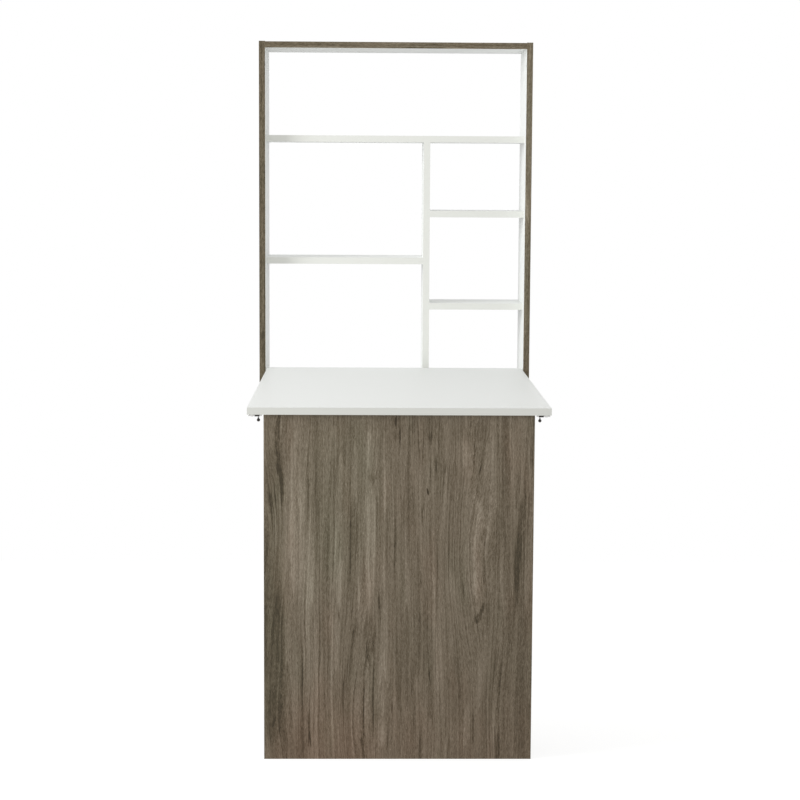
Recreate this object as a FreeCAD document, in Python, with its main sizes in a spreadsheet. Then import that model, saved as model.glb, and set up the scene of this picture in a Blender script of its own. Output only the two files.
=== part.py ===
# Fold down wall desk: an open wall cabinet whose desk top, carried by a panel leg,
# folds up into it.  Millimetres, +X to the right, +Y to the wall, +Z up, the origin on
# the floor under the middle of the desk's box.
import FreeCAD, Part
import Sketcher
import os
import re

from FreeCAD import Placement, Rotation, Vector

# Driving sizes.
SIZES = {
    # cabinet
    "board": 15,
    "shelf_board": 16,
    "cabinet_width": 670,
    "cabinet_depth": 185,
    "top_reveal": 1,
    "finger_gap": 20.5,
    "shelf_recess": 43,
    "upper_bay": 211,
    "left_bay_width": 390.5,
    "left_bay_height": 278,
    "right_low_bay": 165,
    "right_middle_bay": 214,
    # desk and leg
    "desk_height": 750,
    "desk_reach": 765,
    "desk_side_gap": 4,
    "leg_bolt_gap": 1,
    "leg_setback": 8,
    "leg_top_gap": 0.4,
    # butt hinges
    "hinge_drop": 3,
    "hinge_setback": 18.5,
    "hinge_length": 60,
    "leaf_width": 22,
    "leaf_thickness": 1.2,
    "knuckle_radius": 2.6,
    "middle_knuckle": 24,
    "knuckle_gap": 0.3,
    "pin_radius": 1.3,
    "pin_clearance": 0.05,
    "desk_hinge_inset": 66,
    "leg_hinge_inset": 82,
    "screw_row": 13,
    "screw_pitch": 20,
    # wood screws of the hinges and hanger plates
    "screw_radius": 1.5,
    "screw_head_radius": 2.7,
    "screw_length": 12,
    # barrel bolts
    "bolt_back": 20,
    "bolt_edge": 7,
    "bolt_plate_length": 26,
    "bolt_plate_width": 18,
    "bolt_plate_thickness": 1.2,
    "bolt_screw_radius": 1.25,
    "bolt_screw_head_radius": 2.2,
    "bolt_screw_length": 9,
    "bolt_screw_inset": 3.5,
    "rod_radius": 2,
    "rod_clearance": 0.06,
    "rod_drop": 3.5,
    "rod_length": 29,
    "rod_inset": 1,
    "rod_nose": 1,
    "strap_thickness": 1.04,
    "end_strap_length": 4.5,
    "strap_start": 15,
    "strap_length": 10,
    "knob_place": 22.8,
    "stem_radius": 1.25,
    "stem_clearance": 0.1,
    "knob_radius": 3.5,
    "knob_drop": 13.5,
    "bush_radius": 4.5,
    "bush_clearance": 0.6,
    "bush_depth": 8,
    # dowels and cam fittings
    "dowel_radius": 4,
    "dowel_in_face": 10,
    "dowel_in_end": 20,
    "dowel_inset": 30,
    "cam_radius": 7.5,
    "cam_height": 12,
    "cam_sink": 0.5,
    "cam_inset": 62,
    "cam_offset": 24,
    "cam_slot": 7.2,
    "cam_bolt_thread": 2.5,
    "cam_bolt_shaft": 3,
    "cam_bolt_neck": 1.8,
    "cam_bolt_head": 3,
    "cap_radius": 8.8,
    "cap_thickness": 0.8,
    # keyhole hanger plates
    "hanger_width": 11,
    "hanger_height": 40,
    "hanger_thickness": 2,
    "hanger_top": 60,
    "hanger_bottom": 80,
    "hanger_entry_radius": 4.2,
    "hanger_entry_drop": 5,
    "hanger_slot_radius": 2.3,
    "hanger_slot_rise": 7,
    "hanger_screw_spacing": 33,
    "cavity_width": 9.4,
    "cavity_height": 22,
    "cavity_depth": 7,
}

# Sizes and places that follow from the driving ones.
WORKED_OUT = {
    "wall": "(desk_reach + cabinet_depth) / 2",
    "cabinet_front": "(desk_reach - cabinet_depth) / 2",
    "desk_front": "-(desk_reach + cabinet_depth) / 2",
    "half_inside": "(cabinet_width / 2 - board)",
    "inside_width": "(cabinet_width - 2 * board)",
    "underside": "(desk_height - board)",
    "pivot_level": "(underside - hinge_drop)",
    "floor_of_cabinet": "(pivot_level - hinge_drop)",
    "cabinet_bottom": "(floor_of_cabinet - board)",
    "top_panel_level": "(pivot_level + desk_length + finger_gap)",
    "cabinet_top": "(top_panel_level + board + top_reveal)",
    "cabinet_height": "(cabinet_top - cabinet_bottom)",
    "upper_shelf_level": "(top_panel_level - upper_bay - shelf_board)",
    "left_shelf_level": "(floor_of_cabinet + left_bay_height)",
    "low_shelf_level": "(floor_of_cabinet + right_low_bay)",
    "middle_shelf_level": "(low_shelf_level + shelf_board + right_middle_bay)",
    "shelf_depth": "(cabinet_depth - shelf_recess)",
    "shelf_front": "(cabinet_front + shelf_recess)",
    "divider_height": "(upper_shelf_level - floor_of_cabinet)",
    "divider_left": "(left_bay_width - half_inside)",
    "divider_right": "(divider_left + shelf_board)",
    "right_bay_width": "(half_inside - divider_right)",
    "desk_width": "(inside_width - 2 * desk_side_gap)",
    "desk_length": "(desk_reach + hinge_setback)",
    "desk_pivot": "(cabinet_front + hinge_setback)",
    "leg_width": "(desk_width - 2 * (bolt_edge + bolt_plate_length + leg_bolt_gap))",
    "leg_back": "(desk_front + leg_setback + board)",
    "leg_pivot": "(leg_back + hinge_drop)",
    "leg_height": "(underside - leg_top_gap)",
    "leaf_start": "(knuckle_radius + knuckle_gap)",
    "end_knuckle": "((hinge_length - middle_knuckle) / 2 - knuckle_gap)",
    "strap_radius": "(rod_radius + rod_clearance + strap_thickness)",
    "strike_level": "(pivot_level + desk_length - bolt_back)",
    "strike_place": "(desk_pivot + hinge_drop - rod_drop)",
    "cam_depth": "(cam_height + cam_sink)",
    "hanger_high": "(cabinet_top - hanger_top)",
    "hanger_low": "(cabinet_bottom + hanger_bottom)",
    "side_middle": "(cabinet_width / 2 - board / 2)",
}

LEVEL = Rotation()
TURNED_OVER = Rotation(Vector(1, 0, 0), 180)
TURNED_AROUND = Rotation(Vector(0, 0, 1), 180)
FLIPPED_END_FOR_END = Rotation(Vector(0, 1, 0), 180)
LENGTH_UP = Rotation(Vector(0, 1, 0), -90)
WIDTH_UP = Rotation(Vector(1, 0, 0), 90)
TOP_TO_WALL = Rotation(Vector(1, 0, 0), -90)
AXIS_ALONG_X = Rotation(Vector(0, 1, 0), 90)
AXIS_AGAINST_X = Rotation(Vector(0, 1, 0), -90)

LEFT_AND_RIGHT = {"left": "-1", "right": "1"}
DESK_HINGES = {
    "left": "desk_hinge_inset - desk_width / 2",
    "middle": "0",
    "right": "desk_width / 2 - desk_hinge_inset",
}
LEG_HINGES = {
    "left": "leg_hinge_inset - leg_width / 2",
    "right": "leg_width / 2 - leg_hinge_inset",
}
SCREW_STEPS = ("-screw_pitch", "0", "screw_pitch")

doc = FreeCAD.newDocument("FoldDownWallDesk")
sheet = doc.addObject("Spreadsheet::Sheet", "Sizes")
for row, (alias, size) in enumerate(SIZES.items(), start=1):
    sheet.set(f"A{row}", alias)
    sheet.set(f"B{row}", str(size))
    sheet.setAlias(f"B{row}", alias)
doc.recompute()

sub_parts = []


# ---------------------------------------------------------------- binding and placing

def bound(expression):
    """Turn size names into cells of the sheet, and worked-out names into their rule."""
    def cell(match):
        word = match.group(0)
        if word in WORKED_OUT:
            return "(" + bound(WORKED_OUT[word]) + ")"
        return "Sizes." + word
    return re.sub(r"[a-z][a-z_]*", cell, expression)


def bind(item, **rules):
    for field, expression in rules.items():
        item.setExpression(field, bound(expression))


def place(item, where, turn=LEVEL):
    item.Placement = Placement(Vector(), turn)
    for axis, expression in zip("xyz", where):
        item.setExpression(f"Placement.Base.{axis}", bound(expression))


def sub_part(item, name):
    item.Label = name
    sub_parts.append(item)
    return item


# ---------------------------------------------------------------- solids

def box(size, where):
    item = doc.addObject("Part::Box", "Block")
    bind(item, Length=size[0], Width=size[1], Height=size[2])
    place(item, where)
    return item


def cylinder(radius, height, where, turn=LEVEL):
    item = doc.addObject("Part::Cylinder", "Round")
    bind(item, Radius=radius, Height=height)
    place(item, where, turn)
    return item


def cone(low_radius, high_radius, height, where, turn=LEVEL):
    item = doc.addObject("Part::Cone", "Taper")
    bind(item, Radius1=low_radius, Radius2=high_radius, Height=height)
    place(item, where, turn)
    return item


def ball(radius, where):
    item = doc.addObject("Part::Sphere", "Ball")
    bind(item, Radius=radius)
    place(item, where)
    return item


def joined(pieces):
    item = doc.addObject("Part::MultiFuse", "Joined")
    item.Shapes = pieces
    return item


def cut(whole, tools):
    item = doc.addObject("Part::Cut", "Trimmed")
    item.Base = whole
    item.Tool = tools[0] if len(tools) == 1 else joined(tools)
    return item


def group(name, pieces):
    item = doc.addObject("Part::Compound", name)
    item.Links = pieces
    return sub_part(item, name)


# ---------------------------------------------------------------- boards

class Board:
    """A panel padded from a sketch: length along X, width along Y, thickness along Z."""

    def __init__(self, name, size, where, turn=LEVEL):
        self.length, self.width, self.thickness = size
        self.body = sub_part(doc.addObject("PartDesign::Body", name), name)
        outline = self.sketch("XY_Plane", "0")
        rectangle(outline, ("0", "0"), (self.length, self.width))
        pad = self.body.newObject("PartDesign::Pad", "Thickness")
        pad.Profile = outline
        bind(pad, Length=self.thickness)
        outline.Visibility = False
        place(self.body, where, turn)

    def sketch(self, plane, level):
        """Open a sketch on one of the body's own planes, moved out to a level."""
        item = self.body.newObject("Sketcher::SketchObject", "Sketch")
        planes = self.body.Origin.OriginFeatures
        item.AttachmentSupport = [next(p for p in planes if p.Role == plane), ""]
        item.MapMode = "FlatFace"
        item.setExpression("AttachmentOffset.Base.z", bound(level))
        return item

    def face(self, name):
        """Say which plane a face lies on, how far out, and whether a cut is reversed."""
        faces = {
            "top": ("XY_Plane", self.thickness, False),
            "bottom": ("XY_Plane", "0", True),
            "start": ("YZ_Plane", "0", True),
            "end": ("YZ_Plane", self.length, False),
            "front": ("XZ_Plane", "0", False),
            "back": ("XZ_Plane", f"-({self.width})", True),
        }
        return faces[name]

    def pocket(self, sketch, depth, reversed_cut):
        item = self.body.newObject("PartDesign::Pocket", "Pocket")
        item.Profile = sketch
        item.Reversed = reversed_cut
        bind(item, Length=depth)
        sketch.Visibility = False

    def drill(self, face, centres, radius, depth):
        plane, level, reversed_cut = self.face(face)
        sketch = self.sketch(plane, level)
        for centre in centres:
            circle(sketch, centre, radius)
        self.pocket(sketch, depth, reversed_cut)

    def mill(self, face, corners, size, depth):
        plane, level, reversed_cut = self.face(face)
        sketch = self.sketch(plane, level)
        for corner in corners:
            rectangle(sketch, corner, size)
        self.pocket(sketch, depth, reversed_cut)


def dimension(sketch, constraint, expression):
    """Add a driving constraint and bind it to the sheet."""
    index = sketch.addConstraint(constraint)
    sketch.setExpression(f"Constraints[{index}]", bound(expression))


def from_origin(sketch, geometry, point, where):
    """Fix a point of the geometry at a distance from the sketch's origin."""
    if where == ("0", "0"):
        sketch.addConstraint(Sketcher.Constraint("Coincident", geometry, point, -1, 1))
        return
    across, along = where
    dimension(sketch, Sketcher.Constraint("DistanceX", -1, 1, geometry, point, 1.0), across)
    dimension(sketch, Sketcher.Constraint("DistanceY", -1, 1, geometry, point, 1.0), along)


def circle(sketch, centre, radius):
    item = sketch.addGeometry(Part.Circle(Vector(1, 1, 0), Vector(0, 0, 1), 1), False)
    from_origin(sketch, item, 3, centre)
    dimension(sketch, Sketcher.Constraint("Radius", item, 1.0), radius)


def rectangle(sketch, corner, size):
    points = [Vector(0, 0, 0), Vector(1, 0, 0), Vector(1, 1, 0), Vector(0, 1, 0)]
    sides = []
    for start, end in zip(points, points[1:] + points[:1]):
        sides.append(sketch.addGeometry(Part.LineSegment(start, end), False))
    for side, following in zip(sides, sides[1:] + sides[:1]):
        sketch.addConstraint(Sketcher.Constraint("Coincident", side, 2, following, 1))
    for side, direction in zip(sides, ("Horizontal", "Vertical", "Horizontal", "Vertical")):
        sketch.addConstraint(Sketcher.Constraint(direction, side))
    from_origin(sketch, sides[0], 1, corner)
    low, right = sides[0], sides[1]
    dimension(sketch, Sketcher.Constraint("DistanceX", low, 1, low, 2, 1.0), size[0])
    dimension(sketch, Sketcher.Constraint("DistanceY", right, 1, right, 2, 1.0), size[1])


# ---------------------------------------------------------------- fasteners

def screw(where, turn, head_radius, shank_radius, head_height, length):
    """A countersunk screw that points down from its head's top."""
    head = cone(shank_radius, head_radius, head_height, ("0", "0", f"-{head_height}"))
    shank = cylinder(shank_radius, f"{length} - {head_height}", ("0", "0", f"-{length}"))
    item = joined([head, shank])
    place(item, where, turn)
    return item


def wood_screw(where, turn, head_height):
    return screw(where, turn, "screw_head_radius", "screw_radius", head_height, "screw_length")


def bolt_screw(where, turn):
    return screw(where, turn, "bolt_screw_head_radius", "bolt_screw_radius",
                 "bolt_plate_thickness", "bolt_screw_length")


def dowel(where):
    """A wooden dowel along X that starts at a place."""
    return cylinder("dowel_radius", "dowel_in_face + dowel_in_end", where, AXIS_ALONG_X)


def upright_dowel(where):
    return cylinder("dowel_radius", "dowel_in_face + dowel_in_end", where)


# ---------------------------------------------------------------- cabinet

END_INSETS = ("dowel_inset", "cabinet_depth - dowel_inset")
SHELF_INSETS = ("dowel_inset", "shelf_depth - dowel_inset")
CAM_INSETS = ("cam_inset", "cabinet_depth - cam_inset")
END_PANEL_LEVELS = ("top_panel_level", "cabinet_bottom")


def side_panel(name, inner_face, inner_level, shelf_levels):
    """An upright side: its length runs up, its top face looks to the left."""
    panel = Board(name, ("cabinet_height", "cabinet_depth", "board"),
                  (inner_level, "cabinet_front", "cabinet_bottom"), LENGTH_UP)
    ends = [f"{level} + board / 2 - cabinet_bottom" for level in END_PANEL_LEVELS]
    shelves = [f"{level} + shelf_board / 2 - cabinet_bottom" for level in shelf_levels]
    dowels = [(height, inset) for height in ends for inset in END_INSETS]
    dowels += [(height, f"shelf_recess + {inset}") for height in shelves for inset in SHELF_INSETS]
    panel.drill(inner_face, dowels, "dowel_radius", "dowel_in_face")
    cams = [(height, inset) for height in ends for inset in CAM_INSETS]
    panel.drill(inner_face, cams, "cam_bolt_thread", "dowel_in_face")
    strike = ("strike_level - cabinet_bottom", "strike_place - cabinet_front")
    panel.drill(inner_face, [strike], "bush_radius", "bush_depth")
    hanger_recesses(panel)


def hanger_recesses(panel):
    """Recesses in the back edge for the two hanger plates, their cavities and screws."""
    plates, cavities, screws = [], [], []
    for level in ("hanger_high - cabinet_bottom", "hanger_low - cabinet_bottom"):
        middle = "board / 2"
        plates.append((f"{level} - hanger_height / 2", f"{middle} - hanger_width / 2"))
        cavities.append((f"{level} - cavity_height / 2", f"{middle} - cavity_width / 2"))
        screws.append((f"{level} - hanger_screw_spacing / 2", middle))
        screws.append((f"{level} + hanger_screw_spacing / 2", middle))
    panel.mill("back", plates, ("hanger_height", "hanger_width"), "hanger_thickness")
    panel.mill("back", cavities, ("cavity_height", "cavity_width"),
               "hanger_thickness + cavity_depth")
    panel.drill("back", screws, "screw_radius", "screw_length")


def end_panel(name, level, cam_face):
    """The top or the bottom of the cabinet, held to both sides by dowels and cams."""
    panel = Board(name, ("inside_width", "cabinet_depth", "board"),
                  ("-half_inside", "cabinet_front", level))
    dowels = [(inset, "board / 2") for inset in END_INSETS]
    shafts = [(inset, "board / 2") for inset in CAM_INSETS]
    for end, offset in (("start", "cam_offset"), ("end", "inside_width - cam_offset")):
        panel.drill(end, dowels, "dowel_radius", "dowel_in_end")
        panel.drill(end, shafts, "cam_bolt_shaft", "cam_offset")
        cams = [(offset, inset) for inset in CAM_INSETS]
        panel.drill(cam_face, cams, "cam_radius", "cam_depth")
    return panel


def shelf(name, length, left, level):
    """A shelf on dowels in both ends, set back from the cabinet's front."""
    panel = Board(name, (length, "shelf_depth", "shelf_board"), (left, "shelf_front", level))
    dowels = [(inset, "shelf_board / 2") for inset in SHELF_INSETS]
    for end in ("start", "end"):
        panel.drill(end, dowels, "dowel_radius", "dowel_in_end")
    return panel


def divider():
    """The upright between the bays, on dowels in both ends and carrying shelf dowels."""
    panel = Board("divider", ("divider_height", "shelf_depth", "shelf_board"),
                  ("divider_right", "shelf_front", "floor_of_cabinet"), LENGTH_UP)
    dowels = [(inset, "shelf_board / 2") for inset in SHELF_INSETS]
    for end in ("start", "end"):
        panel.drill(end, dowels, "dowel_radius", "dowel_in_end")
    sides = (("top", ("left_shelf_level",)), ("bottom", ("low_shelf_level", "middle_shelf_level")))
    for face, levels in sides:
        heights = [f"{level} + shelf_board / 2 - floor_of_cabinet" for level in levels]
        centres = [(height, inset) for height in heights for inset in SHELF_INSETS]
        panel.drill(face, centres, "dowel_radius", "dowel_in_face")


def cabinet_boards():
    side_panel("left_side_panel", "bottom", "-half_inside",
               ("upper_shelf_level", "left_shelf_level"))
    side_panel("right_side_panel", "top", "cabinet_width / 2",
               ("upper_shelf_level", "low_shelf_level", "middle_shelf_level"))
    end_panel("top_panel", "top_panel_level", "top")
    bottom = end_panel("bottom_panel", "cabinet_bottom", "bottom")
    upper = shelf("upper_shelf", "inside_width", "-half_inside", "upper_shelf_level")
    shelf("left_shelf", "left_bay_width", "-half_inside", "left_shelf_level")
    shelf("right_middle_shelf", "right_bay_width", "divider_right", "middle_shelf_level")
    shelf("right_low_shelf", "right_bay_width", "divider_right", "low_shelf_level")
    divider()
    foot = "left_bay_width + shelf_board / 2"
    upper.drill("bottom", [(foot, inset) for inset in SHELF_INSETS],
                "dowel_radius", "dowel_in_face")
    bottom.drill("top", [(foot, f"shelf_recess + {inset}") for inset in SHELF_INSETS],
                 "dowel_radius", "dowel_in_face")
    bottom.drill("top", [(f"half_inside + {across} + {step}", "hinge_setback + screw_row")
                         for across in DESK_HINGES.values() for step in SCREW_STEPS],
                 "screw_radius", "screw_length - leaf_thickness")


def cabinet_dowels():
    """All the dowels of the cabinet: each is one solid of the group."""
    pieces = []
    starts = ("-half_inside - dowel_in_face", "half_inside - dowel_in_end")
    for start in starts:
        for level in END_PANEL_LEVELS:
            for inset in END_INSETS:
                pieces.append(dowel((start, f"cabinet_front + {inset}", f"{level} + board / 2")))
    shelf_ends = [("upper_shelf_level", start) for start in starts]
    shelf_ends += [("left_shelf_level", starts[0]), ("left_shelf_level", "divider_left - dowel_in_end")]
    for level in ("low_shelf_level", "middle_shelf_level"):
        shelf_ends += [(level, "divider_right - dowel_in_face"), (level, starts[1])]
    for level, start in shelf_ends:
        for inset in SHELF_INSETS:
            pieces.append(dowel((start, f"shelf_front + {inset}", f"{level} + shelf_board / 2")))
    for level in ("floor_of_cabinet - dowel_in_face", "upper_shelf_level - dowel_in_end"):
        for inset in SHELF_INSETS:
            pieces.append(upright_dowel(("divider_right - shelf_board / 2",
                                         f"shelf_front + {inset}", level)))
    group("cabinet_dowels", pieces)


def cam_places():
    """Every cam of the cabinet: its side, its inset and its panel's level."""
    for side in LEFT_AND_RIGHT.values():
        for inset in CAM_INSETS:
            for level in END_PANEL_LEVELS:
                yield side, inset, level


def cam_lock(side, inset, level):
    """A cam disc in its bore, slotted from the rim for the head of the cam bolt."""
    on_top = level == "top_panel_level"
    low = f"{level} + board - cam_depth" if on_top else f"{level} + cam_sink"
    middle = f"{side} * (half_inside - cam_offset)"
    depth = f"cabinet_front + {inset}"
    disc = cylinder("cam_radius", "cam_height", (middle, depth, low))
    slot_start = "-cam_radius" if side == "-1" else "cam_bolt_head - cam_slot"
    slot = box(("cam_radius + cam_slot - cam_bolt_head", "cam_slot", "cam_slot"),
               (f"{middle} + {slot_start}", f"{depth} - cam_slot / 2",
                f"{level} + board / 2 - cam_slot / 2"))
    return cut(disc, [slot])


def cam_bolt(side, inset, level):
    """A threaded end in the side panel, a shaft, a neck and the head inside the cam."""
    shaft = "cam_offset - cam_radius"
    reach = "cam_radius - cam_bolt_head / 2"
    thread = cylinder("cam_bolt_thread", "dowel_in_face", ("0", "0", "-dowel_in_face"))
    body = cylinder("cam_bolt_shaft", shaft, ("0", "0", "0"))
    neck = cylinder("cam_bolt_neck", reach, ("0", "0", shaft))
    head = cylinder("cam_bolt_head", "cam_bolt_head", ("0", "0", f"{shaft} + {reach}"))
    item = joined([thread, body, neck, head])
    inward = AXIS_ALONG_X if side == "-1" else AXIS_AGAINST_X
    place(item, (f"{side} * half_inside", f"cabinet_front + {inset}", f"{level} + board / 2"),
          inward)
    return item


def cam_cap(side, inset, level):
    on_top = level == "top_panel_level"
    low = f"{level} + board" if on_top else f"{level} - cap_thickness"
    return cylinder("cap_radius", "cap_thickness",
                    (f"{side} * (half_inside - cam_offset)", f"cabinet_front + {inset}", low))


def cam_fittings():
    group("cam_locks", [cam_lock(*where) for where in cam_places()])
    group("cam_bolts", [cam_bolt(*where) for where in cam_places()])
    group("cam_caps", [cam_cap(*where) for where in cam_places()])


# ---------------------------------------------------------------- wall hangers

def hanger_plate(name, side, level):
    """A keyhole plate let into the back edge: a round entry with a slot above it."""
    middle = f"{side} * side_middle"
    face = "wall - hanger_thickness"
    plate = box(("hanger_width", "hanger_thickness", "hanger_height"),
                (f"{middle} - hanger_width / 2", face, f"{level} - hanger_height / 2"))
    entry_level = f"{level} - hanger_entry_drop"
    slot_top = f"{level} + hanger_slot_rise"
    entry = cylinder("hanger_entry_radius", "hanger_thickness", (middle, face, entry_level),
                     TOP_TO_WALL)
    slot_end = cylinder("hanger_slot_radius", "hanger_thickness", (middle, face, slot_top),
                        TOP_TO_WALL)
    slot = box(("2 * hanger_slot_radius", "hanger_thickness",
                "hanger_entry_drop + hanger_slot_rise"),
               (f"{middle} - hanger_slot_radius", face, entry_level))
    holes = [hanger_screw(side, level, way) for way in ("-1", "1")]
    sub_part(cut(plate, [entry, slot_end, slot] + holes), name)


def hanger_screw(side, level, way):
    return wood_screw((f"{side} * side_middle", "wall",
                       f"{level} + {way} * hanger_screw_spacing / 2"),
                      TOP_TO_WALL, "hanger_thickness")


def wall_hangers():
    screws = []
    for hand, side in LEFT_AND_RIGHT.items():
        for height in ("high", "low"):
            level = f"hanger_{height}"
            hanger_plate(f"hanger_plate_{hand}_{height}", side, level)
            screws += [hanger_screw(side, level, way) for way in ("-1", "1")]
    group("hanger_screws", screws)


# ---------------------------------------------------------------- hinges

def hinge_leaf(name, knuckles, bore, where, turn):
    """One leaf: X is the pin, the plate lies a hinge_drop below it and runs to +Y."""
    start = "-hinge_length / 2"
    plate = box(("hinge_length", "leaf_width - leaf_start", "leaf_thickness"),
                (start, "leaf_start", "-hinge_drop"))
    pieces = [plate]
    for place_along, length in knuckles:
        pieces.append(box((length, "leaf_start", "leaf_thickness"),
                          (place_along, "0", "-hinge_drop")))
        pieces.append(cylinder("knuckle_radius", length, (place_along, "0", "0"), AXIS_ALONG_X))
    tools = [cylinder(bore, "hinge_length", (start, "0", "0"), AXIS_ALONG_X)]
    for step in SCREW_STEPS:
        tools.append(wood_screw((step, "screw_row", "leaf_thickness - hinge_drop"),
                                LEVEL, "leaf_thickness"))
    leaf = cut(joined(pieces), tools)
    place(leaf, where, turn)
    sub_part(leaf, name)


def hinge(name, across, depth, fixed_turn, moving_turn):
    """A butt hinge: two end knuckles on the fixed leaf, one between them on the moving."""
    where = (across, depth, "pivot_level")
    ends = [("-hinge_length / 2", "end_knuckle"), ("hinge_length / 2 - end_knuckle", "end_knuckle")]
    middle = [("-middle_knuckle / 2", "middle_knuckle")]
    hinge_leaf(f"{name}_fixed_leaf", ends, "pin_radius", where, fixed_turn)
    hinge_leaf(f"{name}_moving_leaf", middle, "pin_radius + pin_clearance", where, moving_turn)
    pin = cylinder("pin_radius", "hinge_length",
                   (f"{across} - hinge_length / 2", depth, "pivot_level"), AXIS_ALONG_X)
    sub_part(pin, f"{name}_pin")


def leaf_screws(name, places, depth, level, turn):
    group(name, [wood_screw((f"{across} + {step}", depth, level), turn, "leaf_thickness")
                 for across in places.values() for step in SCREW_STEPS])


def hinges():
    for hand, across in DESK_HINGES.items():
        hinge(f"desk_hinge_{hand}", across, "desk_pivot", LEVEL, TURNED_OVER)
    for hand, across in LEG_HINGES.items():
        hinge(f"leg_hinge_{hand}", across, "leg_pivot", FLIPPED_END_FOR_END, TOP_TO_WALL)
    under_desk = "underside - leaf_thickness"
    leaf_screws("desk_hinge_cabinet_screws", DESK_HINGES, "desk_pivot + screw_row",
                "floor_of_cabinet + leaf_thickness", LEVEL)
    leaf_screws("desk_hinge_desk_screws", DESK_HINGES, "desk_pivot - screw_row",
                under_desk, TURNED_OVER)
    leaf_screws("leg_hinge_desk_screws", LEG_HINGES, "leg_pivot + screw_row",
                under_desk, TURNED_OVER)
    leaf_screws("leg_hinge_leg_screws", LEG_HINGES, "leg_back + leaf_thickness",
                "pivot_level - screw_row", TOP_TO_WALL)


# ---------------------------------------------------------------- desk and leg

def desk_top():
    """The flap: its underside carries both rows of hinges and the two bolts."""
    panel = Board("desk_top", ("desk_width", "desk_length", "board"),
                  ("-desk_width / 2", "desk_front", "underside"))
    hinge_rows = ((DESK_HINGES, "desk_length - screw_row"),
                  (LEG_HINGES, "leg_pivot - desk_front + screw_row"))
    for hinges_across, along in hinge_rows:
        centres = [(f"desk_width / 2 + {across} + {step}", along)
                   for across in hinges_across.values() for step in SCREW_STEPS]
        panel.drill("bottom", centres, "screw_radius", "screw_length - leaf_thickness")
    centres = []
    for inset in bolt_screw_insets():
        for way in ("-1", "1"):
            along = f"bolt_back + {way} * (bolt_plate_width / 2 - bolt_screw_inset)"
            centres += [(inset, along), (f"desk_width - ({inset})", along)]
    panel.drill("bottom", centres, "bolt_screw_radius",
                "bolt_screw_length - bolt_plate_thickness")


def leg_panel():
    """The panel leg: its length runs across, its width up, its bottom face to the wall."""
    panel = Board("leg_panel", ("leg_width", "leg_height", "board"),
                  ("-leg_width / 2", "leg_back", "0"), WIDTH_UP)
    centres = [(f"leg_width / 2 + {across} + {step}", "pivot_level - screw_row")
               for across in LEG_HINGES.values() for step in SCREW_STEPS]
    panel.drill("bottom", centres, "screw_radius", "screw_length - leaf_thickness")


# ---------------------------------------------------------------- barrel bolts

def bolt_screw_insets():
    """How far in from the desk's side edge the bolt plate's screws stand."""
    return ("bolt_edge + bolt_screw_inset",
            "bolt_edge + bolt_plate_length - bolt_screw_inset")


def bolt_frame(side):
    """Where a bolt's own frame lies: X runs in from the desk's side edge, Z down is -Z."""
    where = (f"{side} * desk_width / 2", "desk_front + bolt_back", "underside")
    return where, (LEVEL if side == "-1" else TURNED_AROUND)


def strap(start, length):
    """A pressed strap round the rod: a half round under two upright cheeks."""
    return [
        cylinder("strap_radius", length, (start, "0", "-rod_drop"), AXIS_ALONG_X),
        box((length, "2 * strap_radius", "rod_drop"), (start, "-strap_radius", "-rod_drop")),
    ]


def bolt_guide(name, side):
    """The plate with an end strap and a long strap, slotted outwards for the stem."""
    plate = box(("bolt_plate_length", "bolt_plate_width", "bolt_plate_thickness"),
                ("bolt_edge", "-bolt_plate_width / 2", "-bolt_plate_thickness"))
    straps = strap("bolt_edge", "end_strap_length") + strap("strap_start", "strap_length")
    bore = cylinder("rod_radius + rod_clearance", "bolt_plate_length", ("bolt_edge", "0", "-rod_drop"),
                    AXIS_ALONG_X)
    slot_half = "(stem_radius + stem_clearance)"
    slot = box((f"knob_place + {slot_half} - strap_start", f"2 * {slot_half}", "strap_radius"),
               ("strap_start", f"-{slot_half}", "-rod_drop - strap_radius"))
    holes = [bolt_screw((inset, f"{way} * (bolt_plate_width / 2 - bolt_screw_inset)",
                         "-bolt_plate_thickness"), TURNED_OVER)
             for inset in bolt_screw_insets() for way in ("-1", "1")]
    guide = cut(joined([plate] + straps), [bore, slot] + holes)
    where, turn = bolt_frame(side)
    place(guide, where, turn)
    sub_part(guide, name)


def bolt_rod(name, side):
    """The sliding rod: a tapered nose, a round shank and a socket for the knob's stem."""
    nose = cone("rod_radius - rod_nose / 2", "rod_radius", "rod_nose",
                ("rod_inset", "0", "-rod_drop"), AXIS_ALONG_X)
    shank = cylinder("rod_radius", "rod_length - rod_nose",
                     ("rod_inset + rod_nose", "0", "-rod_drop"), AXIS_ALONG_X)
    socket = cylinder("stem_radius", "2 * rod_radius",
                      ("knob_place", "0", "-rod_drop - 2 * rod_radius"))
    rod = cut(joined([nose, shank]), [socket])
    where, turn = bolt_frame(side)
    place(rod, where, turn)
    sub_part(rod, name)


def bolt_knob(name, side):
    stem = cylinder("stem_radius", "knob_drop - rod_drop", ("knob_place", "0", "-knob_drop"))
    knob = joined([ball("knob_radius", ("knob_place", "0", "-knob_drop")), stem])
    where, turn = bolt_frame(side)
    place(knob, where, turn)
    sub_part(knob, name)


def strike_bush(name, side):
    """The bush in the side panel's inner face that the rod runs into when shut."""
    turn = AXIS_AGAINST_X if side == "-1" else AXIS_ALONG_X
    where = (f"{side} * half_inside", "strike_place", "strike_level")
    outside = cylinder("bush_radius", "bush_depth", where, turn)
    bore = cylinder("rod_radius + bush_clearance", "bush_depth", where, turn)
    sub_part(cut(outside, [bore]), name)


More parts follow.
